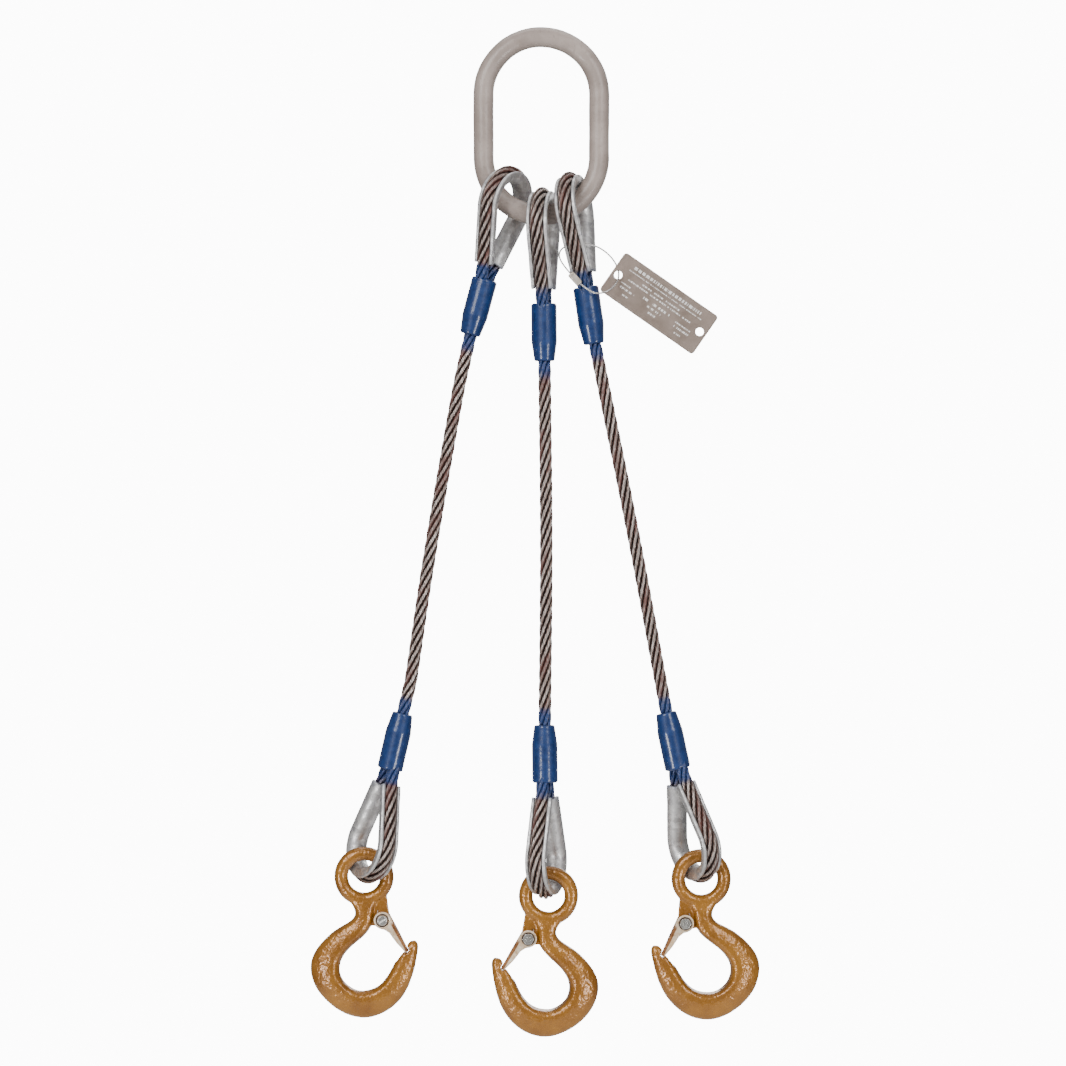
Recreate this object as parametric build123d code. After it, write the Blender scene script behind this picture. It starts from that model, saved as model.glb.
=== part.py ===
from build123d import *
import math
import os

# Three-leg wire rope bridle sling, hanging from its master link. Millimetres, +Z up.
# The origin is the bearing point at the inside top of the master link. The link lies in the XZ plane.

# ---- driving dimensions ----
LINK_BAR = 12.7
LINK_WIDTH = 59.5  # inside
LINK_LENGTH = 98.5  # inside

ROPE_D = 8.3
EYE_RADIUS = 19.7  # rope centreline round the thimble's crown
EYE_LENGTH = 49.0  # crown centre to the ferrule's mouth
LIMB_CORNER = (3.4, 46.5)  # where each straight limb turns into the ferrule: off the axis, along the axis
FERRULE_BEND = 42.0  # bend radius of a limb at the ferrule's mouth
TAIL_END = 65.0  # where the dead end of the rope stops inside the ferrule
AXIS_POINT = 75.0  # where the live limb reaches the ferrule's axis

THIMBLE_BACK = 6.7  # rope centreline to the bearing surface
THIMBLE_GROOVE = 4.25
THIMBLE_FLANGE = 1.4  # how far the flanges stand past the rope's centreline
THIMBLE_TIP = 40.0  # crown centre to the thimble's tips, along the eye's axis

FERRULE_LENGTH = 36.0
FERRULE_R = 8.0
FERRULE_END_R = 5.75
FERRULE_TAPER = 12.0

RING_R = 14.3  # hook eye, centreline
RING_BAR = 4.3  # radius of the hook eye's bar
PIVOT = (-13.2, -26.25)  # latch bolt, from the hook eye's centre
LATCH_REACH = (-16.1, -19.35)  # latch tip, from the bolt
LUG_HALF = 2.4
EAR_HALF = 5.7
SHEET = 1.2
EAR_R = 5.4
BOLT_R = 1.6
PIN_GAP = 0.06
SPRING_WIRE = 0.45  # radius
SPRING_R = 3.3

TAG_LENGTH = 71.0
TAG_WIDTH = 29.0
TAG_THICK = 1.0
TAG_HOLE = 5.2
TAG_HOLE_OFFSET = 31.0
TAG_TILT = 34.9  # how far the hanging end is down, in degrees
TAG_CENTRE = (73.5, -160.1)

CABLE_D = 1.1
CRIMP_LENGTH = 9.0

# Each leg: the rope's centre at both crowns, how far each eye leans from the vertical, how far each eye's
# back limb is turned to the right about its own axis, the bends of the free rope, and the hook: the centre
# of its eye, the way it faces and how far its bowl swings towards -X, in degrees.
LEGS = {
    "left": {
        "upper_crown": (-17.5, -78.5),
        "upper_lean": -15.0,
        "upper_turn": 32.0,
        "bends": [(-52.0, -214.0), (-70.6, -320.4), (-81.5, -396.0)],
        "lower_crown": (-110.2, -518.3),
        "lower_lean": -13.0,
        "lower_turn": -32.0,
        "hook_eye": (-110.8, -518.2),
        "hook_faces": 180.0,
        "hook_lean": 3.4,
    },
    "middle": {
        "upper_crown": (0.86, -91.45),
        "upper_lean": 0.6,
        "upper_turn": 12.0,
        "bends": [(3.4, -310.0)],
        "lower_crown": (3.2, -528.3),
        "lower_lean": 0.7,
        "lower_turn": 20.0,
        "hook_eye": (4.5, -530.2),
        "hook_faces": 0.0,
        "hook_lean": -1.2,
    },
    "right": {
        "upper_crown": (17.8, -81.8),
        "upper_lean": 8.3,
        "upper_turn": 17.0,
        "bends": [(57.4, -303.0)],
        "lower_crown": (99.7, -518.2),
        "lower_lean": 12.0,
        "lower_turn": -30.0,
        "hook_eye": (99.9, -519.6),
        "hook_faces": 0.0,
        "hook_lean": -6.6,
    },
}

# The tag's cable, from the crimp's upper end, behind the front limb of the right eye, through the tag's
# hole from behind, and back in front of the ferrule into the crimp's lower end.
CABLE_ROUTE = [
    (19.1, -12.0, -143.4),
    (13.2, -11.0, -136.8),
    (10.5, -6.5, -130.1),
    (13.3, -1.2, -125.1),
    (20.1, 0.9, -122.9),
    (28.5, 1.6, -122.5),
    (36.9, 2.2, -125.1),
    (44.1, 3.6, -130.9),
    (48.2, 3.9, -137.9),
    (48.5, -0.2, -142.7),
    (47.8, -4.6, -146.3),
    (44.3, -8.8, -151.5),
    (37.3, -11.6, -154.9),
    (30.1, -12.4, -153.9),
    (22.9, -12.0, -147.6),
]


def save(shape, name):
    """Writes one sub-part as its own STEP file."""
    shape.label = name
    export_step(shape, f"parts/{name}.step")


def rounded_route(points, radii):
    """A wire of straight runs joined by tangent arcs, one radius for each inner point."""
    edges = []
    start = points[0]
    for before, corner, after, radius in zip(points, points[1:], points[2:], radii):
        to_before = (before - corner).normalized()
        to_after = (after - corner).normalized()
        half_turn = math.radians(180 - to_before.get_angle(to_after)) / 2
        reach = radius * math.tan(half_turn)
        first = corner + to_before * reach
        last = corner + to_after * reach
        bisector = (to_before + to_after).normalized()
        middle = corner + bisector * (radius / math.cos(half_turn) - radius)
        if (first - start).length > 0.001:
            edges.append(Line(start, first))
        edges.append(ThreePointArc(first, middle, last))
        start = last
    if (points[-1] - start).length > 0.001:
        edges.append(Line(start, points[-1]))
    return Wire(edges)


def free_radii(points):
    """The bend radius at each inner point of a free run: 0.45 of the shorter run over tan(half the turn)."""
    radii = []
    for before, corner, after in zip(points, points[1:], points[2:]):
        half_turn = math.radians((corner - before).get_angle(after - corner)) / 2
        shorter = min((corner - before).length, (after - corner).length)
        radii.append(0.45 * shorter / math.tan(half_turn))
    return radii


def tube(path, diameter):
    """A plain round cord along a path, with its volume compared with section times length."""
    profile = Plane(origin=path @ 0, z_dir=path % 0) * Circle(diameter / 2)
    body = sweep(profile, path=path)
    expected = math.pi * diameter**2 / 4 * path.length
    print(f"  tube {path.length:.1f} mm long, volume {body.volume / expected:.3f} of its section times length")
    return body


# ---- an eye and its ferrule, in their own plane: x across the eye, y from the crown to the ferrule ----
CORNER_DISTANCE = math.hypot(*LIMB_CORNER)
LIMB_ANGLE = math.asin(EYE_RADIUS / CORNER_DISTANCE) - math.atan2(*LIMB_CORNER)  # each limb to the axis
CROWN_POINTS = 4
CROWN_STEP = (math.pi + 2 * LIMB_ANGLE) / CROWN_POINTS


def eye_plane(crown, lean, turn, downwards):
    """The plane of an eye whose rope crown is centred at crown (x, z)."""
    sign = -1 if downwards else 1
    angle = math.radians(lean)
    axis = Vector(-sign * math.sin(angle), 0, sign * math.cos(angle))
    right = Vector(math.cos(angle), 0, math.sin(angle))
    across = right * math.sin(math.radians(turn)) + Vector(0, 1, 0) * math.cos(math.radians(turn))
    centre = Vector(crown[0], 0, crown[1]) + axis * EYE_RADIUS
    return Plane(origin=centre, x_dir=across, z_dir=across.cross(axis))


def crown_corners():
    """Corners of the polygon whose sides touch the crown's circle, from the -x limb to the +x limb."""
    reach = EYE_RADIUS / math.cos(CROWN_STEP / 2)
    first = math.pi - LIMB_ANGLE + CROWN_STEP / 2
    angles = [first + i * CROWN_STEP for i in range(CROWN_POINTS)]
    return [(reach * math.cos(a), reach * math.sin(a)) for a in angles]


def eye_route():
    """Control points of the rope's dead end, eye and live limb, ending on the ferrule's axis."""
    off, along = LIMB_CORNER
    points = [(-off, TAIL_END), (-off, along), *crown_corners(), (off, along), (0.0, AXIS_POINT)]
    radii = [FERRULE_BEND] + [EYE_RADIUS] * CROWN_POINTS + [FERRULE_BEND]
    return points, radii


def in_space(plane, points):
    return [plane.from_local_coords(Vector(x, y, 0)) for x, y in points]


def eye_limbs(plane, points, radii):
    """The eye's two halves, met at the crown: the limb with the dead end, and the live limb."""
    half = 2 + CROWN_POINTS // 2
    crown = plane.from_local_coords(Vector(0, -EYE_RADIUS, 0))
    dead = rounded_route([*points[:half], crown], radii[: half - 1])
    live = rounded_route([crown, *points[half:]], radii[half - 1 :])
    return [tube(dead, ROPE_D), tube(live, ROPE_D)]


def thimble(plane):
    """A heavy thimble: a U channel open outwards, bent round the crown, with both tips at the ferrule."""
    tip_reach = (THIMBLE_TIP - EYE_RADIUS * math.sin(LIMB_ANGLE)) / math.cos(LIMB_ANGLE)
    touch = [(EYE_RADIUS * math.cos(LIMB_ANGLE) * side, EYE_RADIUS * math.sin(LIMB_ANGLE)) for side in (-1, 1)]
    tips = [
        (x - side * math.sin(LIMB_ANGLE) * tip_reach, y + math.cos(LIMB_ANGLE) * tip_reach)
        for (x, y), side in zip(touch, (-1, 1))
    ]
    crown = (0.0, -EYE_RADIUS)
    start, first, top, last, end = in_space(plane, [tips[0], touch[0], crown, touch[1], tips[1]])
    path = Wire([Line(start, first), ThreePointArc(first, top, last), Line(last, end)])
    inwards = plane.z_dir.cross(path % 0) * -1
    if inwards.dot(plane.origin - start) < 0:
        inwards = inwards * -1
    section_plane = Plane(origin=start, x_dir=inwards, z_dir=path % 0)
    flange = Pos(-THIMBLE_FLANGE / 2, 0) * Rectangle(THIMBLE_FLANGE, 2 * THIMBLE_BACK)
    back = Circle(THIMBLE_BACK) & Pos(THIMBLE_BACK / 2, 0) * Rectangle(THIMBLE_BACK, 2 * THIMBLE_BACK)
    groove = Circle(THIMBLE_GROOVE) + Pos(-THIMBLE_BACK / 2, 0) * Rectangle(THIMBLE_BACK, 2 * THIMBLE_GROOVE)
    channel = back + flange - groove
    lips = channel.vertices().filter_by(lambda v: abs(v.X + THIMBLE_FLANGE) < 0.01)
    channel = fillet(lips, 0.9)
    return sweep(section_plane * channel, path=path)


def ferrule(plane, ropes):
    """A swaged sleeve round both limbs: bevelled at its mouth, tapered down to the single rope."""
    straight = FERRULE_LENGTH - FERRULE_TAPER
    outline = [
        (0, 0),
        (FERRULE_R - 0.9, 0),
        (FERRULE_R, 0.9),
        (FERRULE_R, straight),
        (FERRULE_END_R + 0.6, FERRULE_LENGTH - 0.6),
        (FERRULE_END_R, FERRULE_LENGTH),
        (0, FERRULE_LENGTH),
    ]
    profile = make_face(Polyline(*outline, close=True))
    shoulder = profile.vertices().filter_by(lambda v: abs(v.Y - straight) < 0.01 and v.X > 1)
    profile = fillet(shoulder, 9.0)
    sleeve = revolve(Plane.XY * profile, axis=Axis.Y)
    sleeve = plane * (Pos(0, EYE_LENGTH, 0) * sleeve)
    for rope in ropes:
        sleeve -= rope
    return sleeve


# ---- the hook, in its own frame: the eye's centre at the origin, the tip towards -x ----
def hook_section(inner, outer, inner_width, outer_width):
    """A closed outline, wider at its bearing side, between two points of the hook's side view."""
    inside = Vector(inner[0], 0, inner[1])
    across = Vector(outer[0], 0, outer[1]) - inside
    corners = 14
    points = []
    for i in range(corners):
        angle = 2 * math.pi * i / corners
        c, s = math.cos(angle), math.sin(angle)
        share = (1 - math.copysign(abs(c) ** 0.82, c)) / 2
        width = inner_width + (outer_width - inner_width) * share
        side = math.copysign(abs(s) ** 0.72, s) * width / 2
        points.append(inside + across * share + Vector(0, side, 0))
    return make_face(Spline(*points, periodic=True))


# Inner and outer edge of the side view, with the widths there, from the neck round the bowl to the tip.
HOOK_STATIONS = [
    ((-9.4, -13.4), (9.4, -13.4), 8.0, 8.0),
    ((-8.4, -18.2), (6.4, -18.2), 10.0, 9.6),
    ((-7.4, -23.2), (4.3, -22.8), 11.0, 10.4),
    ((-6.9, -28.4), (5.3, -26.4), 12.2, 10.6),
    ((-3.9, -34.6), (9.6, -30.2), 14.6, 10.6),
    ((2.2, -41.0), (16.8, -35.2), 16.4, 10.2),
    ((8.2, -47.4), (24.6, -43.6), 17.4, 9.8),
    ((11.7, -55.2), (29.8, -54.6), 18.0, 9.6),
    ((10.5, -63.2), (28.0, -66.8), 18.4, 9.6),
    ((4.7, -69.2), (18.4, -79.2), 18.4, 9.6),
    ((-3.8, -71.2), (-4.0, -88.2), 18.0, 9.6),
    ((-11.8, -68.6), (-21.4, -81.4), 17.0, 9.6),
    ((-17.4, -62.8), (-30.6, -69.6), 15.4, 9.4),
    ((-20.9, -56.0), (-34.3, -58.6), 13.4, 9.0),
    ((-23.4, -50.4), (-35.8, -49.8), 11.6, 8.6),
    ((-26.2, -46.0), (-36.4, -43.6), 9.4, 7.4),
    ((-28.9, -41.8), (-35.8, -39.4), 7.2, 6.4),
    ((-31.0, -38.8), (-34.2, -37.9), 3.8, 3.2),
]
POINT_STATIONS = 3  # the last stations close the point in a loft of their own


def across_y(x, z, radius, half):
    """A round bar along Y at (x, z)."""
    return Pos(x, 0, z) * (Rot(90, 0, 0) * Cylinder(radius, 2 * half))


def latch_plane():
    """The latch's own plane: x from the bolt to the tip, y away from the bowl, z along +Y."""
    to_tip = Vector(LATCH_REACH[0], 0, LATCH_REACH[1]).normalized()
    return Plane(origin=(PIVOT[0], 0, PIVOT[1]), x_dir=to_tip, z_dir=(0, 1, 0))


def slab(outline, half):
    """An outline in the latch's side view, extruded equally both ways."""
    return extrude(make_face(Polyline(*outline, close=True)), half, both=True)


def hook():
    ring = Rot(90, 0, 0) * Torus(RING_R, RING_BAR)
    sections = [hook_section(*station) for station in HOOK_STATIONS]
    bowl = loft(sections[: -POINT_STATIONS + 1]) + loft(sections[-POINT_STATIONS:])
    lug_outline = [(-15.0, -11.4), (-17.7, -25.0), (PIVOT[0], -30.75), (-5.0, -30.0), (-4.0, -17.0), (-8.0, -12.6)]
    lug = Plane.XZ * slab(lug_outline, LUG_HALF)
    lug += across_y(*PIVOT, 4.6, LUG_HALF)
    body = bowl + ring + lug
    body -= across_y(*PIVOT, BOLT_R + PIN_GAP, LUG_HALF + 1)
    # A notch across the point for the latch's tip, and a slot from it towards the bowl, so that the latch
    # closes against the point and swings inwards only.
    notch = [(20.5, 2.8), (25.6, 2.1), (25.8, -0.9), (20.5, -0.9)]
    slot = [(20.5, 2.6), (25.6, 1.9), (26.1, -1.0), (26.1, -9.0), (20.5, -9.0)]
    body -= latch_plane() * slab(notch, 12)
    body -= latch_plane() * slab(slot, 3.3)
    return body


def latch():
    """A pressed channel with two ears on the bolt, narrowed to a tip that seats in the hook's point."""
    reach = math.hypot(*LATCH_REACH)
    tip_top = 1.7
    top_slope = (EAR_R - tip_top) / reach
    under = [(reach, -0.6), (17.0, -1.4), (9.0, -1.2), (5.6, -2.4), (3.6, -4.2)]
    side_view = slab([(0, EAR_R), (reach, tip_top), *under, (0, -EAR_R)], 10)
    side_view += Cylinder(EAR_R, 20)
    plan = [(-7, EAR_HALF), (12, EAR_HALF), (20.5, 2.7), (reach + 1, 2.4)]
    outer_plan = plan + [(x, -y) for x, y in reversed(plan)]
    inner_plan = [(x, math.copysign(abs(y) - SHEET, y)) for x, y in outer_plan]
    outer = Rot(90, 0, 0) * extrude(make_face(Polyline(*outer_plan, close=True)), 10, both=True)
    inner = Rot(90, 0, 0) * extrude(make_face(Polyline(*inner_plan, close=True)), 10, both=True)
    web_start = 6.6
    web_under = [EAR_R - SHEET - top_slope * x for x in (web_start, reach + 1)]
    hollow = [(-8, -9), (-8, 9), (web_start, 9), (web_start, web_under[0]), (reach + 1, web_under[1]), (reach + 1, -9)]
    channel = (side_view & outer) - (inner & slab(hollow, 10))
    channel -= Cylinder(BOLT_R + PIN_GAP, 20)
    return latch_plane() * channel


def latch_bolt():
    """A slotted round-headed bolt through the lug and both ears, its head at +Y."""
    head_half = 1.0
    x, z = PIVOT
    shank_half = EAR_HALF + 2.2
    bolt = Pos(0, -0.9, 0) * across_y(x, z, BOLT_R, shank_half)
    head = Pos(0, EAR_HALF + 0.2 + head_half, 0) * across_y(x, z, 3.2, head_half)
    head = fillet(head.edges().group_by(Axis.Y)[-1], 0.7)
    slot = Pos(x, EAR_HALF + 0.2 + 2 * head_half, z) * (Rot(0, 35, 0) * Box(8, 1.2, 0.8))
    return bolt + head - slot


def latch_nut():
    """A hexagon nut on the bolt's end, at -Y."""
    height = 2.4
    blank = extrude(RegularPolygon(3.2, 6, major_radius=False), height)
    blank &= Pos(0, 0, height / 2) * Cylinder(3.55, height)
    blank -= Cylinder(BOLT_R + 0.03, 4 * height)
    return Pos(PIVOT[0], -EAR_HALF - 0.2, PIVOT[1]) * (Rot(90, 0, 0) * blank)


def latch_spring():
    """The torsion spring: turns round the bolt on both sides of the lug, and a leg up each side."""
    x, z = PIVOT
    spring = Part()
    for side in (-1, 1):
        for turn in (2.9, 3.75):
            spring += Pos(x, side * turn, z) * (Rot(90, 0, 0) * Torus(SPRING_R, SPRING_WIRE))
        leg = Pos(x + SPRING_R, side * 2.9, z + 3.2) * Cylinder(SPRING_WIRE, 6.4)
        spring += leg
    return spring


def placed_hook(shape, leg):
    """A hook's piece, turned about the vertical, leaned sideways and hung at the leg's lower eye."""
    x, z = leg["hook_eye"]
    return Pos(x, 0, z) * (Rot(0, leg["hook_lean"], 0) * (Rot(0, 0, leg["hook_faces"]) * shape))


# ---- building ----
os.makedirs("parts", exist_ok=True)

arc_radius = (LINK_WIDTH + LINK_BAR) / 2
straight_half = (LINK_LENGTH - LINK_WIDTH) / 2
crown = arc_radius + straight_half
right_side = Line((arc_radius, 0, -straight_half), (arc_radius, 0, straight_half))
left_side = Line((-arc_radius, 0, straight_half), (-arc_radius, 0, -straight_half))
link_top = ThreePointArc(right_side @ 1, (0, 0, crown), left_side @ 0)
link_bottom = ThreePointArc(left_side @ 1, (0, 0, -crown), right_side @ 0)
link_path = Wire([right_side, link_top, left_side, link_bottom])
link_section = Plane(origin=link_path @ 0, z_dir=link_path % 0) * Circle(LINK_BAR / 2)
link = sweep(link_section, path=link_path)
save(Pos(0, 0, -LINK_LENGTH / 2) * link, "master_link")

hook_pieces = {
    "hook": hook(),
    "latch": latch(),
    "latch_bolt": latch_bolt(),
    "latch_nut": latch_nut(),
    "latch_spring": latch_spring(),
}

for name, leg in LEGS.items():
    upper = eye_plane(leg["upper_crown"], leg["upper_lean"], leg["upper_turn"], True)
    lower = eye_plane(leg["lower_crown"], leg["lower_lean"], leg["lower_turn"], False)
    eye_points, eye_radii = eye_route()
    upper_eye = in_space(upper, eye_points)
    lower_eye = in_space(lower, eye_points)
    run = [upper_eye[-1], *[Vector(x, 0, z) for x, z in leg["bends"]], lower_eye[-1]]
    whole = [upper_eye[-2], *run, lower_eye[-2]]
    run_radii = free_radii(whole)
    route = upper_eye + run[1:-1] + lower_eye[::-1]
    radii = eye_radii + run_radii + eye_radii[::-1]
    print(f"{name} rope, radii: " + " ".join(f"{r:.0f}" for r in radii))
    print("  route: " + " ".join(f"({p.X:.1f},{p.Y:.1f},{p.Z:.1f})" for p in route))
    straight = tube(rounded_route(run, run_radii[1:-1]), ROPE_D)
    upper_limbs = eye_limbs(upper, upper_eye, eye_radii)
    lower_limbs = eye_limbs(lower, lower_eye, eye_radii)
    rope = straight
    for limb in upper_limbs + lower_limbs:
        rope += limb
    save(rope, f"{name}_rope")
    save(thimble(upper), f"{name}_upper_thimble")
    save(thimble(lower), f"{name}_lower_thimble")
    save(ferrule(upper, [straight, *upper_limbs]), f"{name}_upper_ferrule")
    save(ferrule(lower, [straight, *lower_limbs]), f"{name}_lower_ferrule")
    for piece, shape in hook_pieces.items():
        save(placed_hook(shape, leg), f"{name}_{piece}")

plate = extrude(RectangleRounded(TAG_LENGTH, TAG_WIDTH, 2.2), TAG_THICK / 2, both=True)
for side in (-1, 1):
    plate -= Pos(side * TAG_HOLE_OFFSET, 0, 0) * Cylinder(TAG_HOLE / 2, 2 * TAG_THICK)
tag_angle = math.radians(TAG_TILT)
tag_plane = Plane(
    origin=(TAG_CENTRE[0], 0, TAG_CENTRE[1]),
    x_dir=(math.cos(tag_angle), 0, -math.sin(tag_angle)),
    z_dir=(0, -1, 0),
)
save(tag_plane * plate, "tag")

cable_points = [Vector(*p) for p in CABLE_ROUTE]
cable_radii = free_radii(cable_points)
print("tag cable, radii: " + " ".join(f"{r:.1f}" for r in cable_radii))
cable = tube(rounded_route(cable_points, cable_radii), CABLE_D)
save(cable, "tag_cable")
crimp_axis = (cable_points[-1] - cable_points[0]).normalized()
crimp_centre = (cable_points[0] + cable_points[-1]) / 2
crimp_plane = Plane(origin=crimp_centre, x_dir=crimp_axis, z_dir=(0, -1, 0))
crimp = fillet(Box(CRIMP_LENGTH, 4.4, 3.0).edges(), 0.9)
save(crimp_plane * crimp - cable, "tag_crimp")
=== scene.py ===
import math

import bmesh
import bpy
from mathutils import Matrix, Vector, noise


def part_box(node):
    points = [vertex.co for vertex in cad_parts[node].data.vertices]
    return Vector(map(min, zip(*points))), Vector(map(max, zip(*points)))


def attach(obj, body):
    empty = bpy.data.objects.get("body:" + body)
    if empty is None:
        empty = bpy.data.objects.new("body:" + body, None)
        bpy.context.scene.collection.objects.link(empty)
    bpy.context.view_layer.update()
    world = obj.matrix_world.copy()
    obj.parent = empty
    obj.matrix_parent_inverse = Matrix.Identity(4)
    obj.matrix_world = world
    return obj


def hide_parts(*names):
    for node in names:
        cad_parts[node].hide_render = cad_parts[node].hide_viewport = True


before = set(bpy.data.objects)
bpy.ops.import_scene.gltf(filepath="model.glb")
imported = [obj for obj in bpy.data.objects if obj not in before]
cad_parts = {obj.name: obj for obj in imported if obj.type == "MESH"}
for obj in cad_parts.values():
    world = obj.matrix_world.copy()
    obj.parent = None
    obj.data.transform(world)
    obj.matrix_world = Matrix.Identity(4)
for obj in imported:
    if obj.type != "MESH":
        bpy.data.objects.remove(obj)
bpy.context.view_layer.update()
MM = 0.001
LEGS = ("left", "middle", "right")

# ---- the ropes, in metres: their routes have the same control points as the CAD's ----
ROPE_D = 0.0083
ROPE_LAY = 0.054
STRANDS = 6
WIRES = 9
CORE_R = 0.00175
EYE_RADIUS = 0.0197
CROWN_POINTS = 4
# These are (off the eye's axis, along it), from the centre of the crown.
LIMB_CORNER = (0.0034, 0.0465)
DEAD_END = (0.0034, 0.065)
AXIS_POINT = 0.075  # along the axis only
FERRULE_SPAN = (0.049, 0.085)  # the sleeve's mouth and its narrow end, from the crown's centre
# Each eye is (its crown's x and z), its lean and its turn about its own axis, in degrees.
ROUTES = {
    "left": {
        "upper": ((-0.0175, -0.0785), -15.0, 32.0),
        "bends": [(-0.052, -0.214), (-0.0706, -0.3204), (-0.0815, -0.396)],
        "lower": ((-0.1102, -0.5183), -13.0, -32.0),
    },
    "middle": {
        "upper": ((0.00086, -0.09145), 0.6, 12.0),
        "bends": [(0.0034, -0.31)],
        "lower": ((0.0032, -0.5283), 0.7, 20.0),
    },
    "right": {
        "upper": ((0.0178, -0.0818), 8.3, 17.0),
        "bends": [(0.0574, -0.303)],
        "lower": ((0.0997, -0.5182), 12.0, -30.0),
    },
}

# ---- the tag's cable, in metres ----
CABLE_D = 0.0011
CABLE_LAY = 0.007
CABLE_WIRES = 6
CABLE_ROUTE = [
    (0.0191, -0.0120, -0.1434),
    (0.0132, -0.0110, -0.1368),
    (0.0105, -0.0065, -0.1301),
    (0.0133, -0.0012, -0.1251),
    (0.0201, 0.0009, -0.1229),
    (0.0285, 0.0016, -0.1225),
    (0.0369, 0.0022, -0.1251),
    (0.0441, 0.0036, -0.1309),
    (0.0482, 0.0039, -0.1379),
    (0.0485, -0.0002, -0.1427),
    (0.0478, -0.0046, -0.1463),
    (0.0443, -0.0088, -0.1515),
    (0.0373, -0.0116, -0.1549),
    (0.0301, -0.0124, -0.1539),
    (0.0229, -0.0120, -0.1476),
]

# ---- the hooks, latches and tag ----
# Each hook's (turn about its shank, lean in the plane of the legs), in degrees.
HOOK_POSES = {"left": (180.0, 3.4), "middle": (0.0, -1.2), "right": (0.0, -6.6)}
LATCH_REACH = (-0.0161, -0.01935)  # from the bolt to the latch's tip, in metres
LATCH_EAR = 0.0054  # the radius of the ears
LATCH_TIP = 0.0017  # from the middle line to the web's outside, at the tip
SPRING_R = 0.0033
SPRING_WIRE = 0.00043
SPRING_TURNS = 2
TAG_CENTRE = (0.0735, -0.1601)
TAG_TILT = 34.9  # degrees

# ---- the view, and the blue that has drifted from the sleeves ----
VIEW_CENTRE = (-0.0052, -0.3036)
VIEW_WIDTH = 0.6662
VIEW_DISTANCE = 2.3
FLOOR_HEIGHT = -0.72
FLOOR_RADIUS = 0.38
BLUE = (0.010, 0.045, 0.17)


# ---- the cords' routes ----
def eye_frame(crown, lean, turn, sign):
    """The centre of an eye's crown, and its directions across the eye and towards its ferrule."""
    angle = math.radians(lean)
    axis = Vector((-sign * math.sin(angle), 0, sign * math.cos(angle)))
    right = Vector((math.cos(angle), 0, math.sin(angle)))
    across = right * math.sin(math.radians(turn)) + Vector((0, math.cos(math.radians(turn)), 0))
    return Vector((crown[0], 0, crown[1])) + axis * EYE_RADIUS, across, axis


def eye_points(centre, across, axis):
    """From the dead end inside the ferrule, round the crown, to the live limb on the ferrule's axis."""
    off, along = LIMB_CORNER
    limb = math.asin(EYE_RADIUS / math.hypot(off, along)) - math.atan2(off, along)
    step = (math.pi + 2 * limb) / CROWN_POINTS
    reach = EYE_RADIUS / math.cos(step / 2)
    turns = [math.pi - limb + (i + 0.5) * step for i in range(CROWN_POINTS)]
    crown = [Vector((reach * math.cos(a), reach * math.sin(a))) for a in turns]
    run = (crown[1] - crown[0]).length
    corners = [Vector((-off, along)), Vector((off, along))]
    # One more point on each long limb, as far from the crown's corner as its neighbour is.
    near = [c + (p - c).normalized() * run for c, p in ((crown[0], corners[0]), (crown[-1], corners[1]))]
    flat = [Vector((-DEAD_END[0], DEAD_END[1])), corners[0], near[0], *crown, near[1], corners[1]]
    flat.append(Vector((0, AXIS_POINT)))
    return [centre + across * p.x + axis * p.y for p in flat]


def beside(corner, neighbour, towards):
    """A point on a long straight run, as far from its corner as the corner's other neighbour is."""
    return corner + (towards - corner).normalized() * (neighbour - corner).length


def rope_route(leg):
    """The control points from the upper eye's dead end to the lower eye's."""
    route = ROUTES[leg]
    upper = eye_points(*eye_frame(*route["upper"], -1))
    lower = eye_points(*eye_frame(*route["lower"], 1))[::-1]
    bends = [Vector((x, 0, z)) for x, z in route["bends"]]
    first = beside(upper[-1], upper[-2], bends[0])
    last = beside(lower[0], lower[1], bends[-1])
    return [*upper, first, *bends, last, *lower]


def spline_line(points, step):
    """Evenly spaced points read from the smooth NURBS line that has these control points."""
    data = bpy.data.curves.new("route", "CURVE")
    data.dimensions = "3D"
    data.resolution_u = 32
    spline = data.splines.new("NURBS")
    spline.points.add(len(points) - 1)
    for point, co in zip(spline.points, points):
        point.co = (*co, 1.0)
    spline.order_u = 3
    spline.use_endpoint_u = True
    holder = bpy.data.objects.new("route", data)
    bpy.context.scene.collection.objects.link(holder)
    mesh = bpy.data.meshes.new_from_object(holder)
    read = [v.co.copy() for v in mesh.vertices]
    bpy.data.objects.remove(holder)
    bpy.data.curves.remove(data)
    bpy.data.meshes.remove(mesh)
    along = [0.0]
    for a, b in zip(read, read[1:]):
        along.append(along[-1] + (b - a).length)
    count = max(2, round(along[-1] / step))
    line = []
    j = 0
    for i in range(count + 1):
        want = along[-1] * i / count
        while j < len(along) - 2 and along[j + 1] < want:
            j += 1
        share = (want - along[j]) / max(along[j + 1] - along[j], 1e-9)
        line.append(read[j].lerp(read[j + 1], share))
    return line, along[-1]


def transported(line):
    """A frame (two unit normals and the tangent) at each point, turned no more than the line turns."""
    frames = []
    normal = None
    for i, point in enumerate(line):
        tangent = (line[min(i + 1, len(line) - 1)] - line[max(i - 1, 0)]).normalized()
        if normal is None:
            normal = tangent.orthogonal()
        normal = (normal - tangent * normal.dot(tangent)).normalized()
        frames.append((normal.copy(), tangent.cross(normal), tangent))
    return frames


# ---- mesh helpers ----
def add_object(name, vertices, faces, smooth=True):
    """A mesh object in the scene."""
    mesh = bpy.data.meshes.new(name)
    mesh.from_pydata([tuple(v) for v in vertices], [], faces)
    mesh.polygons.foreach_set("use_smooth", [smooth] * len(mesh.polygons))
    made = bpy.data.objects.new(name, mesh)
    bpy.context.scene.collection.objects.link(made)
    return made


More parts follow.
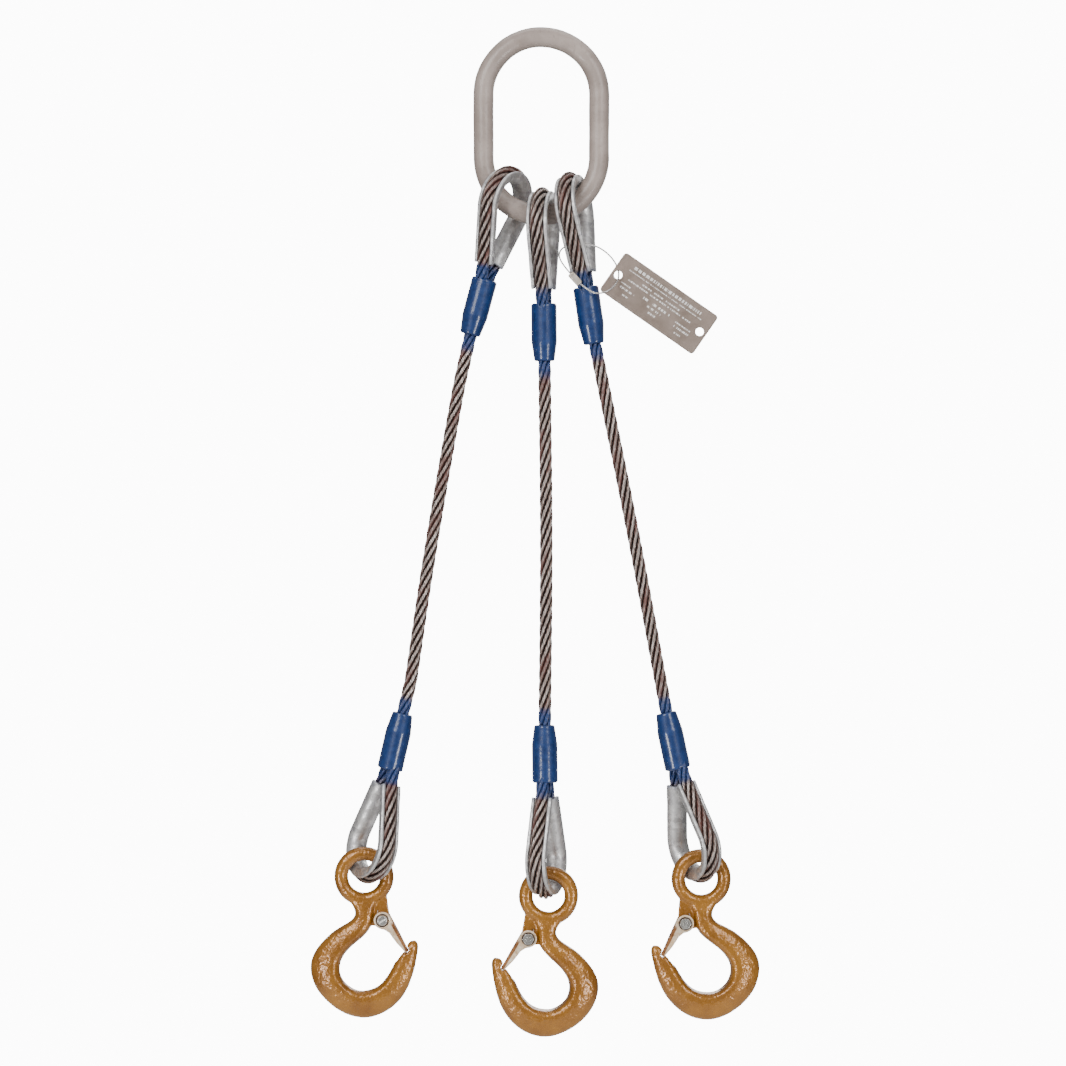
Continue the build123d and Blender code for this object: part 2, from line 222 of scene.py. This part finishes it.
def round_ring(centre, a, b, radius, size):
    """A ring of vertices about a centre, in the plane of two unit vectors."""
    angles = [2 * math.pi * j / size for j in range(size)]
    return [centre + (a * math.cos(angle) + b * math.sin(angle)) * radius for angle in angles]


def ring_faces(start, rings, size):
    """Quads that join rings of vertices, each of the given size, and caps at both ends."""
    faces = []
    for i in range(rings - 1):
        a, b = start + i * size, start + (i + 1) * size
        faces += [(a + j, a + (j + 1) % size, b + (j + 1) % size, b + j) for j in range(size)]
    faces.append(tuple(start + j for j in reversed(range(size))))
    faces.append(tuple(start + (rings - 1) * size + j for j in range(size)))
    return faces


def float_attribute(mesh, name, values):
    attribute = mesh.attributes.new(name, "FLOAT", "POINT")
    attribute.data.foreach_set("value", values)


def smoothstep(low, high, value):
    """From 0 at the low value to 1 at the high one, with a soft start and end."""
    t = min(max((value - low) / (high - low), 0.0), 1.0)
    return t * t * (3 - 2 * t)


def cad_copy(node, name, voxel, rounds):
    """A finely and evenly meshed copy of a CAD node, with its sharp edges and joints slightly rounded."""
    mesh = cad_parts[node].data.copy()
    mesh.materials.clear()
    made = bpy.data.objects.new(name, mesh)
    bpy.context.scene.collection.objects.link(made)
    remesh = made.modifiers.new("even", "REMESH")
    remesh.mode = "VOXEL"
    remesh.voxel_size = voxel
    remesh.use_smooth_shade = True
    relax = made.modifiers.new("relax", "SMOOTH")
    relax.factor = 0.5
    relax.iterations = rounds
    bpy.context.view_layer.update()
    result = bpy.data.meshes.new_from_object(made.evaluated_get(bpy.context.evaluated_depsgraph_get()))
    result.name = name
    made.modifiers.clear()
    made.data = result
    bpy.data.meshes.remove(mesh)
    return made


def roughen(made, layers):
    """Moves each vertex along its normal by smooth noise: layers of (size of a lump, height)."""
    mesh = made.data
    moved = []
    for vertex in mesh.vertices:
        height = sum(h * noise.noise(vertex.co / size) for size, h in layers)
        moved.append(vertex.co + vertex.normal * height)
    for vertex, co in zip(mesh.vertices, moved):
        vertex.co = co
    mesh.update()


# ---- materials ----
class Shade:
    """A small writer of node materials."""

    def __init__(self, name):
        self.material = bpy.data.materials.new(name)
        self.material.use_nodes = True
        self.nodes = self.material.node_tree.nodes
        self.links = self.material.node_tree.links
        self.shader = self.nodes["Principled BSDF"]
        self.where = self.node("ShaderNodeTexCoord").outputs["Object"]

    def node(self, kind, **values):
        made = self.nodes.new(kind)
        for key, value in values.items():
            setattr(made, key, value)
        return made

    def put(self, socket, value):
        if isinstance(value, bpy.types.NodeSocket):
            self.links.new(value, socket)
        else:
            socket.default_value = value

    def set(self, **values):
        """Sets the shader's inputs, named with underscores for spaces."""
        for key, value in values.items():
            self.put(self.shader.inputs[key.replace("_", " ")], value)

    def noise(self, size, detail=4.0, rough=0.55, stretch=None):
        """Smooth noise with lumps of about the given size in metres, perhaps scaled along each axis."""
        made = self.node("ShaderNodeTexNoise")
        made.inputs["Scale"].default_value = 1.0 / size
        made.inputs["Detail"].default_value = detail
        made.inputs["Roughness"].default_value = rough
        source = self.where
        if stretch:
            mapping = self.node("ShaderNodeMapping")
            mapping.inputs["Scale"].default_value = stretch
            self.links.new(source, mapping.inputs["Vector"])
            source = mapping.outputs["Vector"]
        self.links.new(source, made.inputs["Vector"])
        return made.outputs["Fac"]

    def cells(self, size):
        """Patches, each with its own value, like the grains of a zinc coating."""
        made = self.node("ShaderNodeTexVoronoi")
        made.inputs["Scale"].default_value = 1.0 / size
        self.links.new(self.where, made.inputs["Vector"])
        return made.outputs["Color"]

    def ramp(self, fac, *stops):
        """A colour or value between stops of (position, colour or value)."""
        made = self.node("ShaderNodeValToRGB")
        elements = made.color_ramp.elements
        while len(elements) < len(stops):
            elements.new(0.5)
        for element, (position, colour) in zip(elements, stops):
            element.position = position
            element.color = (*colour, 1.0) if isinstance(colour, tuple) else (colour, colour, colour, 1.0)
        self.links.new(fac, made.inputs["Fac"])
        return made.outputs["Color"]

    def mix(self, fac, a, b):
        made = self.node("ShaderNodeMix", data_type="RGBA")
        self.put(made.inputs["Factor"], fac)
        for socket, value in ((made.inputs["A"], a), (made.inputs["B"], b)):
            self.put(socket, (*value, 1.0) if isinstance(value, tuple) else value)
        return made.outputs["Result"]

    def math(self, operation, a, b):
        made = self.node("ShaderNodeMath", operation=operation)
        self.put(made.inputs[0], a)
        self.put(made.inputs[1], b)
        return made.outputs[0]

    def attribute(self, name):
        return self.node("ShaderNodeAttribute", attribute_name=name).outputs["Fac"]

    def bump(self, height, strength, distance):
        """Relief under both the base and its clear coat."""
        made = self.node("ShaderNodeBump")
        made.inputs["Strength"].default_value = strength
        made.inputs["Distance"].default_value = distance
        self.links.new(height, made.inputs["Height"])
        for name in ("Normal", "Coat Normal"):
            self.links.new(made.outputs["Normal"], self.shader.inputs[name])


def link_paint():
    s = Shade("link_paint")
    broad = s.noise(18 * MM, 5)
    colour = s.ramp(broad, (0.35, (0.33, 0.268, 0.235)), (0.65, (0.45, 0.375, 0.335)))
    specks = s.ramp(s.noise(2.2 * MM, 6, 0.7), (0.56, 0.0), (0.66, 1.0))
    colour = s.mix(s.math("MULTIPLY", specks, 0.35), colour, (0.20, 0.15, 0.12))
    s.set(Base_Color=colour, Roughness=s.ramp(broad, (0.3, 0.34), (0.7, 0.48)), Coat_Weight=0.2)
    s.bump(s.noise(1.6 * MM, 5), 0.35, 0.3 * MM)
    return s.material


def hook_paint():
    s = Shade("hook_paint")
    broad = s.noise(14 * MM, 4)
    fine = s.noise(1.4 * MM, 6, 0.65)
    colour = s.ramp(broad, (0.3, (0.27, 0.100, 0.008)), (0.7, (0.44, 0.185, 0.020)))
    pits = s.ramp(fine, (0.36, 1.0), (0.44, 0.0))
    colour = s.mix(s.math("MULTIPLY", pits, 0.45), colour, (0.22, 0.10, 0.025))
    # Painted glints: small lighter speckles in the paint's colour, standing for highlights.
    glints = s.ramp(s.noise(0.8 * MM, 3, 0.8), (0.64, 0.0), (0.70, 1.0))
    colour = s.mix(s.math("MULTIPLY", glints, 0.25), colour, (0.62, 0.40, 0.16))
    s.set(
        Base_Color=colour,
        Metallic=0.35,
        Roughness=s.ramp(fine, (0.35, 0.38), (0.65, 0.22)),
        Coat_Weight=0.65,
        Coat_Roughness=0.2,
    )
    lumps = s.math("ADD", s.noise(2.8 * MM, 1), s.math("MULTIPLY", s.noise(1.3 * MM, 0), 0.2))
    s.bump(lumps, 0.7, 0.7 * MM)
    return s.material


def ferrule_paint():
    s = Shade("ferrule_paint")
    broad = s.noise(3.5 * MM, 6, 0.65)
    colour = s.ramp(broad, (0.3, (0.001, 0.018, 0.092)), (0.7, (0.003, 0.038, 0.175)))
    dust = s.ramp(s.noise(0.7 * MM, 4, 0.75), (0.62, 0.0), (0.72, 1.0))
    colour = s.mix(s.math("MULTIPLY", dust, 0.3), colour, (0.14, 0.24, 0.48))
    s.set(Base_Color=colour, Roughness=s.ramp(broad, (0.3, 0.30), (0.7, 0.45)))
    s.set(Coat_Weight=0.7, Coat_Roughness=0.1)
    s.bump(s.noise(1.6 * MM, 5), 0.25, 0.3 * MM)
    return s.material


def galvanised():
    s = Shade("galvanised_steel")
    cells = s.ramp(s.cells(3.2 * MM), (0.2, (0.62, 0.61, 0.62)), (0.8, (0.90, 0.89, 0.88)))
    dull = s.ramp(s.noise(6 * MM, 6), (0.38, 1.0), (0.62, 0.0))
    colour = s.mix(s.math("MULTIPLY", dull, 0.5), cells, (0.36, 0.35, 0.33))
    mist = s.math("MULTIPLY", s.attribute("overspray"), s.ramp(s.noise(1.5 * MM, 5), (0.3, 0.55), (0.6, 1.0)))
    colour = s.mix(mist, colour, BLUE)
    metal = s.math("SUBTRACT", 0.85, s.math("MULTIPLY", mist, 0.8))
    s.set(Base_Color=colour, Metallic=metal, Roughness=s.ramp(dull, (0.2, 0.36), (0.8, 0.56)))
    s.bump(s.noise(1.2 * MM, 5), 0.35, 0.25 * MM)
    return s.material


def rope_steel():
    s = Shade("rope_steel")
    out = s.attribute("crest")
    rust = s.math("MULTIPLY", s.attribute("rust"), s.ramp(s.noise(3 * MM, 5), (0.35, 0.5), (0.6, 1.0)))
    streak = s.noise(2.5 * MM, 6, 0.7, stretch=(1.0, 1.0, 0.25))
    dark = s.ramp(streak, (0.3, (0.070, 0.042, 0.034)), (0.7, (0.21, 0.145, 0.122)))
    crest_highlight = s.ramp(streak, (0.3, (0.50, 0.39, 0.34)), (0.7, (1.0, 0.93, 0.88)))
    # Painted light: the valleys between wires and strands are painted in shade, and each wire's outer crest
    # gets a painted highlight.
    valley = s.mix(s.ramp(out, (0.15, 0.0), (0.5, 1.0)), (0.022, 0.014, 0.012), dark)
    colour = s.mix(s.ramp(out, (0.80, 0.0), (0.99, 1.0)), valley, crest_highlight)
    colour = s.mix(s.math("MULTIPLY", rust, 0.8), colour, (0.125, 0.036, 0.027))
    mist = s.math("MULTIPLY", s.attribute("overspray"), s.ramp(s.noise(1.2 * MM, 5), (0.3, 0.7), (0.6, 1.0)))
    colour = s.mix(mist, colour, BLUE)
    metal = s.math("SUBTRACT", 0.8, s.math("MULTIPLY", s.math("MAXIMUM", rust, mist), 0.6))
    s.set(Base_Color=colour, Metallic=metal, Roughness=s.ramp(streak, (0.3, 0.5), (0.7, 0.3)))
    return s.material


def latch_plating():
    """Yellow zinc: pale on the flat flanges, with a copper band along the web's bend that is a painted
    reflection, and a painted shadow ring round the nut, inside the rim.
    """
    s = Shade("latch_zinc")
    patch = s.noise(3 * MM, 5)
    pale = s.ramp(patch, (0.35, (0.84, 0.58, 0.34)), (0.65, (1.0, 0.86, 0.68)))
    copper = s.ramp(patch, (0.35, (0.20, 0.075, 0.026)), (0.65, (0.42, 0.19, 0.07)))
    # Painted reflection: the copper band along the web's rounded bend stands for how that bend reflects.
    colour = s.mix(s.attribute("web_bend_reflection"), pale, copper)
    # Painted shadow: a dark ring round the nut.
    colour = s.mix(s.attribute("nut_ring_shadow"), colour, (0.05, 0.03, 0.025))
    s.set(Base_Color=colour, Metallic=0.4, Roughness=s.ramp(patch, (0.3, 0.24), (0.7, 0.4)))
    s.bump(s.noise(1.0 * MM, 4), 0.2, 0.15 * MM)
    return s.material


def zinc(name, low, high, rough):
    s = Shade(name)
    patch = s.noise(4 * MM, 5)
    colour = s.ramp(patch, (0.35, low), (0.65, high))
    scratch = s.noise(0.6 * MM, 3, 0.8, stretch=(1.0, 1.0, 0.12))
    s.set(Base_Color=colour, Metallic=0.9)
    s.set(Roughness=s.ramp(scratch, (0.3, rough - 0.08), (0.7, rough + 0.12)))
    s.bump(scratch, 0.12, 0.1 * MM)
    return s.material


def tag_metal():
    s = Shade("tag_metal")
    smear = s.noise(12 * MM, 6, 0.6)
    colour = s.ramp(smear, (0.3, (0.25, 0.190, 0.155)), (0.7, (0.35, 0.280, 0.240)))
    s.set(Base_Color=colour, Metallic=0.55, Roughness=s.ramp(smear, (0.3, 0.42), (0.7, 0.56)))
    s.bump(s.noise(1.0 * MM, 5), 0.15, 0.1 * MM)
    return s.material


def tag_print():
    s = Shade("tag_print")
    worn = s.noise(0.8 * MM, 5, 0.7)
    s.set(Base_Color=s.ramp(worn, (0.35, (0.60, 0.56, 0.53)), (0.55, (0.95, 0.94, 0.92))), Roughness=0.6)
    return s.material


MATERIALS = {
    "link_paint": link_paint(),
    "hook_paint": hook_paint(),
    "ferrule_paint": ferrule_paint(),
    "galvanised_steel": galvanised(),
    "rope_steel": rope_steel(),
    "latch_zinc": latch_plating(),
    "bolt_zinc": zinc("bolt_zinc", (0.55, 0.53, 0.48), (0.76, 0.75, 0.72), 0.25),
    "spring_steel": zinc("spring_steel", (0.34, 0.24, 0.17), (0.50, 0.42, 0.34), 0.3),
    "tag_metal": tag_metal(),
    "tag_print": tag_print(),
    "cable_steel": zinc("cable_steel", (0.60, 0.57, 0.55), (0.80, 0.78, 0.77), 0.3),
    "crimp_metal": zinc("crimp_metal", (0.55, 0.48, 0.40), (0.74, 0.68, 0.60), 0.42),
}


def finish_piece(made, body, material, *nodes):
    """Gives a piece its material, hangs it on its body, and hides the CAD nodes that it stands for."""
    made.data.materials.clear()
    made.data.materials.append(MATERIALS[material])
    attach(made, body)
    if nodes:
        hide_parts(*nodes)


# ---- camera, light and floor ----
def camera():
    data = bpy.data.cameras.new("camera")
    data.sensor_width = 36.0
    data.lens = data.sensor_width * VIEW_DISTANCE / VIEW_WIDTH
    made = bpy.data.objects.new("camera", data)
    made.location = (VIEW_CENTRE[0], -VIEW_DISTANCE, VIEW_CENTRE[1])
    made.rotation_euler = (math.radians(90), 0, 0)
    bpy.context.scene.collection.objects.link(made)
    bpy.context.scene.camera = made


def backdrop():
    """A world that is white to the camera and dim to the sling, so that its edges aren't washed out."""
    world = bpy.data.worlds.new("studio")
    world.use_nodes = True
    nodes, links = world.node_tree.nodes, world.node_tree.links
    background = nodes["Background"]
    background.inputs["Color"].default_value = (1.0, 1.0, 1.0, 1.0)
    seen = nodes.new("ShaderNodeLightPath").outputs["Is Camera Ray"]
    strength = nodes.new("ShaderNodeMapRange")
    strength.inputs["To Min"].default_value = 0.2
    strength.inputs["To Max"].default_value = 12.0
    links.new(seen, strength.inputs["Value"])
    links.new(strength.outputs["Result"], background.inputs["Strength"])
    bpy.context.scene.world = world


def softbox(name, place, size, power):
    """A rectangular light in metres and watts that faces the middle of the sling, unseen by the camera."""
    light = bpy.data.lights.new(name, "AREA")
    light.shape = "RECTANGLE"
    light.size, light.size_y = size
    light.energy = power
    made = bpy.data.objects.new(name, light)
    made.location = place
    made.rotation_euler = (Vector((0, 0, -0.32)) - Vector(place)).to_track_quat("-Z", "Y").to_euler()
    made.visible_camera = False
    bpy.context.scene.collection.objects.link(made)


def studio_floor():
    floor = bpy.data.meshes.new("floor")
    form = bmesh.new()
    bmesh.ops.create_circle(form, cap_ends=True, radius=FLOOR_RADIUS, segments=96)
    bmesh.ops.translate(form, verts=form.verts, vec=(0, 0, FLOOR_HEIGHT))
    form.to_mesh(floor)
    form.free()
    ground = bpy.data.objects.new("floor", floor)
    bpy.context.scene.collection.objects.link(ground)
    s = Shade("floor")
    s.set(Base_Color=s.ramp(s.noise(0.2, 2), (0.3, 0.80), (0.7, 0.83)), Roughness=0.8)
    floor.materials.append(s.material)


# ---- pieces ----
def strand_section():
    """A strand's outline: two crest points and a valley for each outer wire, as (angle, radius, crest)."""
    strand = ROPE_D / 6
    wire = strand * math.sin(math.pi / WIRES) / (1 + math.sin(math.pi / WIRES))
    to_wire = strand - wire
    points = []
    valley = 180 / WIRES
    for i in range(WIRES):
        for turn in (-0.4 * valley, 0.4 * valley, valley):
            delta = math.radians(turn)
            across = to_wire * math.sin(delta)
            radius = to_wire * math.cos(delta) + math.sqrt(max(wire**2 - across**2, 0))
            points.append((2 * math.pi * i / WIRES + delta, radius, 0.0 if turn == valley else 1.0))
    return points


def rope(leg):
    """Strands of outer wires round a core, along the rope's route, with its rust and overspray, and a crest
    value that carries its painted highlights and painted shade.
    """
    line, length = spline_line(rope_route(leg), 1.13 * MM)
    frames = transported(line)
    section = strand_section()
    helix = ROPE_D / 2 - ROPE_D / 6  # a strand is a third of the rope's thickness
    step = length / (len(line) - 1)
    upper = eye_frame(*ROUTES[leg]["upper"], -1)
    lower = eye_frame(*ROUTES[leg]["lower"], 1)
    vertices, faces, crest, rust, spray = [], [], [], [], []
    for k in range(STRANDS):
        start = len(vertices)
        for i, (point, (a, b, _)) in enumerate(zip(line, frames)):
            along = i * step
            turn = 2 * math.pi * (along / ROPE_LAY + k / STRANDS)
            outward = a * math.cos(turn) + b * math.sin(turn)
            centre = point + outward * helix
            twist = -2 * math.pi * along / (ROPE_LAY * 1.015)
            stain = noise.noise(Vector((along * 38, k * 7.3, LEGS.index(leg) * 11.0)))
            stain = smoothstep(0.08, 0.42, stain)
            mist = overspray(point, upper, lower)
            for angle, radius, top in section:
                direction = a * math.cos(angle + twist) + b * math.sin(angle + twist)
                vertices.append(centre + direction * radius)
                # The crest value is painted light: high on the wires' outer crests, which get a painted
                # highlight, and low between the wires and where the strands face inwards, which get painted
                # shade.
                crest.append(smoothstep(-0.3, 1.0, direction.dot(outward)) * (0.45 + 0.55 * top))
                rust.append(stain)
                spray.append(mist)
        faces += ring_faces(start, len(line), len(section))
    # The core is a plain tube that closes the view between the strands; its crest value of 0 gives it the
    # valleys' painted shade.
    start = len(vertices)
    spine = list(zip(line, frames))[::3]
    for point, (a, b, _) in spine:
        vertices += round_ring(point, a, b, CORE_R, 10)
    faces += ring_faces(start, len(spine), 10)
    plain = len(vertices) - start
    crest += [0.0] * plain
    rust += [0.0] * plain
    spray += [0.0] * plain
    made = add_object(f"{leg}_rope_strands", vertices, faces)
    float_attribute(made.data, "crest", crest)
    float_attribute(made.data, "rust", rust)
    float_attribute(made.data, "overspray", spray)
    finish_piece(made, f"leg_{leg}", "rope_steel", f"{leg}_rope")
    print(f"{leg} rope: {length * 1000:.1f} mm")


def overspray(point, *eyes):
    """How much of the sleeves' blue has drifted onto a point beside their two ends, from 0 to 1."""
    most = 0.0
    for centre, _, axis in eyes:
        along = (point - centre).dot(axis)
        ragged = 2.5 * MM * noise.noise(point * 300)
        before = smoothstep(FERRULE_SPAN[0] - 13 * MM, FERRULE_SPAN[0] - 5 * MM, along + ragged)
        after = 1 - smoothstep(FERRULE_SPAN[1] + 5 * MM, FERRULE_SPAN[1] + 14 * MM, along + ragged)
        most = max(most, before * after)
    return most


def thimble(leg, end):
    node = f"{leg}_{end}_thimble"
    made = cad_copy(node, f"{node}_cast", 0.5 * MM, 3)
    roughen(made, ((9 * MM, 0.12 * MM), (2.5 * MM, 0.04 * MM)))
    eye = eye_frame(*ROUTES[leg][end], -1 if end == "upper" else 1)
    float_attribute(made.data, "overspray", [overspray(v.co, eye) for v in made.data.vertices])
    finish_piece(made, f"leg_{leg}", "galvanised_steel", node)


def ferrule(leg, end):
    node = f"{leg}_{end}_ferrule"
    made = cad_copy(node, f"{node}_sleeve", 0.45 * MM, 3)
    roughen(made, ((8 * MM, 0.06 * MM),))
    finish_piece(made, f"leg_{leg}", "ferrule_paint", node)


def hook(leg):
    made = cad_copy(f"{leg}_hook", f"{leg}_hook_forging", 0.55 * MM, 6)
    roughen(made, ((12 * MM, 0.16 * MM), (3.5 * MM, 0.07 * MM), (1.3 * MM, 0.03 * MM)))
    finish_piece(made, f"hook_{leg}", "hook_paint", f"{leg}_hook")


def latch_axes(leg):
    """The bolt's centre, and the directions to the latch's tip, away from the bowl and up the hook."""
    low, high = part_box(f"{leg}_latch_bolt")
    faces, lean = HOOK_POSES[leg]
    turned = Matrix.Rotation(math.radians(lean), 3, "Y") @ Matrix.Rotation(math.radians(faces), 3, "Z")
    tip = turned @ Vector((LATCH_REACH[0], 0, LATCH_REACH[1])).normalized()
    outward = turned @ Vector((LATCH_REACH[1], 0, -LATCH_REACH[0])).normalized()
    up = turned @ Vector((0, 0, 1))
    return (Vector(low) + Vector(high)) / 2, tip, outward, up


def shape_latch(mesh, leg):
    """Presses a rim into each ear of a latch, and marks the band along its web's bend, which gets a painted
    reflection, and the ring round the nut inside the rim, which gets a painted shadow.
    """
    centre, tip, outward, _ = latch_axes(leg)
    web_bend_reflection, nut_ring_shadow = [], []
    for vertex in mesh.vertices:
        rel = vertex.co - centre
        along, off = rel.dot(tip), rel.dot(outward)
        radius = math.hypot(along, off)
        rim = smoothstep(3.9 * MM, 4.5 * MM, radius) * (1 - smoothstep(5.2 * MM, 5.6 * MM, radius))
        if abs(rel.y) > 5.3 * MM and abs(vertex.normal.y) > 0.7:
            vertex.co.y += math.copysign(0.32 * MM * rim, rel.y)
        top = LATCH_EAR - (LATCH_EAR - LATCH_TIP) * along / math.hypot(*LATCH_REACH)
        # The band along the web's rounded bend gets a painted reflection.
        web = smoothstep(top - 2.0 * MM, top - 1.6 * MM, off)
        web_bend_reflection.append(web * smoothstep(3.0 * MM, 6.5 * MM, along))
        # A painted shadow: the ring between the nut and the pressed rim.
        ring = smoothstep(3.1 * MM, 3.5 * MM, radius) * (1 - smoothstep(4.0 * MM, 4.4 * MM, radius))
        nut_ring_shadow.append(ring)
    float_attribute(mesh, "web_bend_reflection", web_bend_reflection)
    float_attribute(mesh, "nut_ring_shadow", nut_ring_shadow)


def latch_spring(leg):
    """Two turns of wire on each side of the lug, each ending in a leg that lies against the neck."""
    centre, tip, outward, up = latch_axes(leg)
    side_way = up.cross(Vector((0, 1, 0)))
    if side_way.x * (1 if leg != "left" else -1) < 0:
        side_way.negate()
    vertices, faces = [], []
    for side in (-1, 1):
        line = []
        points = 24 * SPRING_TURNS
        for i in range(points + 1):
            left = 1 - i / points
            angle = -2 * math.pi * SPRING_TURNS * left
            spot = side_way * math.cos(angle) + up * math.sin(angle)
            depth = Vector((0, side * (2.95 + 0.85 * left) * MM, 0))
            line.append(centre + spot * SPRING_R + depth)
        line += [line[-1] + up * (d * MM) for d in (1.5, 3.0, 4.5, 6.0)]
        start = len(vertices)
        for point, (a, b, _) in zip(line, transported(line)):
            vertices += round_ring(point, a, b, SPRING_WIRE, 10)
        faces += ring_faces(start, len(line), 10)
    return add_object(f"{leg}_latch_spring_wire", vertices, faces)


def latch_set(leg):
    made = cad_copy(f"{leg}_latch", f"{leg}_latch_sheet", 0.26 * MM, 2)
    shape_latch(made.data, leg)
    finish_piece(made, f"latch_{leg}", "latch_zinc", f"{leg}_latch")
    for part in ("bolt", "nut"):
        node = f"{leg}_latch_{part}"
        made = cad_copy(node, f"{node}_turned", 0.16 * MM, 1)
        finish_piece(made, f"hook_{leg}", "bolt_zinc", node)
    finish_piece(latch_spring(leg), f"hook_{leg}", "spring_steel", f"{leg}_latch_spring")


def master_link():
    made = cad_copy("master_link", "master_link_bar", 0.8 * MM, 3)
    roughen(made, ((16 * MM, 0.25 * MM), (4 * MM, 0.06 * MM)))
    finish_piece(made, "master_link", "link_paint", "master_link")


def tag_marks():
    """Rows of plain worn bars on the tag's face, in place of print."""
    box_faces = ((0, 3, 2, 1), (4, 5, 6, 7), (0, 1, 5, 4), (1, 2, 6, 5), (2, 3, 7, 6), (3, 0, 4, 7))
    angle = math.radians(TAG_TILT)
    along = Vector((math.cos(angle), 0, -math.sin(angle)))
    up = Vector((math.sin(angle), 0, math.cos(angle)))
    centre = Vector((TAG_CENTRE[0], -0.5 * MM, TAG_CENTRE[1]))
    # Each row is (its place up the tag, a bar's height, from, to, the share of bars kept), in millimetres.
    rows = (
        (9.6, 1.9, -25.0, 25.0, 0.78),
        (6.6, 0.7, -27.0, 27.5, 0.92),
        (3.6, 1.0, -15.0, 15.0, 0.75),
        (1.2, 1.0, -24.0, 22.0, 0.72),
        (-2.6, 1.5, -10.0, 9.0, 0.70),
        (-5.6, 1.2, -5.0, 5.0, 0.80),
        (-8.6, 1.2, -2.5, 2.5, 1.00),
        (-2.4, 0.9, -27.0, -17.0, 0.70),
        (-5.0, 1.2, -26.0, -15.5, 0.80),
        (-8.6, 1.0, -22.0, -18.0, 0.90),
        (-3.6, 0.9, 15.0, 26.0, 0.75),
        (-6.2, 1.2, 15.5, 26.5, 0.80),
        (-9.6, 1.0, 18.0, 22.0, 0.90),
    )
    vertices, faces = [], []
    for height, bar, first, last, share in rows:
        place = first
        while place < last:
            seed = noise.cell(Vector((place * 1.7 + 40, height * 2.3 + 70, 5.0)))
            long = bar * (0.7 + 0.9 * seed)
            if noise.cell(Vector((place * 3.1 + 90, height + 30, 9.0))) < share:
                end, half = place + long, bar / 2
                start = len(vertices)
                for depth in (0.03, -0.03):
                    for x, y in ((place, -half), (end, -half), (end, half), (place, half)):
                        spot = centre + along * (x * MM) + up * ((height + y) * MM)
                        vertices.append(spot + Vector((0, depth * MM, 0)))
                faces += [tuple(start + corner for corner in face) for face in box_faces]
            place += long + 0.45 * bar
    return add_object("tag_print_marks", vertices, faces, smooth=False)


def tag():
    made = cad_copy("tag", "tag_plate", 0.3 * MM, 1)
    finish_piece(made, "tag", "tag_metal", "tag")
    finish_piece(tag_marks(), "tag", "tag_print")


def cable():
    """The tag's cable of a few fine wires, and its crimp."""
    line, length = spline_line([Vector(p) for p in CABLE_ROUTE], 0.45 * MM)
    frames = transported(line)
    wire = CABLE_D / 6
    step = length / (len(line) - 1)
    vertices, faces = [], []
    for k in range(CABLE_WIRES):
        start = len(vertices)
        for i, (point, (a, b, _)) in enumerate(zip(line, frames)):
            turn = 2 * math.pi * (i * step / CABLE_LAY + k / CABLE_WIRES)
            centre = point + (a * math.cos(turn) + b * math.sin(turn)) * wire * 2
            vertices += round_ring(centre, a, b, wire, 8)
        faces += ring_faces(start, len(line), 8)
    made = add_object("tag_cable_strand", vertices, faces)
    finish_piece(made, "leg_right", "cable_steel", "tag_cable")
    crimp = cad_copy("tag_crimp", "tag_crimp_sleeve", 0.2 * MM, 2)
    finish_piece(crimp, "leg_right", "crimp_metal", "tag_crimp")
    print(f"tag cable: {length * 1000:.1f} mm")


camera()
backdrop()
softbox("key", (-0.75, -1.35, 0.5), (0.7, 0.9), 17)
softbox("fill", (0.85, -1.4, 0.45), (0.6, 0.9), 11)
softbox("low_left", (-0.95, -1.25, -0.8), (0.3, 0.5), 9)
softbox("low_right", (0.95, -1.25, -0.8), (0.3, 0.5), 8)
softbox("back", (0.3, 1.5, 0.2), (1.2, 1.2), 12)
softbox("top", (0.0, 0.2, 0.9), (1.2, 0.8), 7)
studio_floor()
for leg in LEGS:
    rope(leg)
cable()
master_link()
for leg in LEGS:
    for end in ("upper", "lower"):
        thimble(leg, end)
        ferrule(leg, end)
    hook(leg)
    latch_set(leg)
tag()
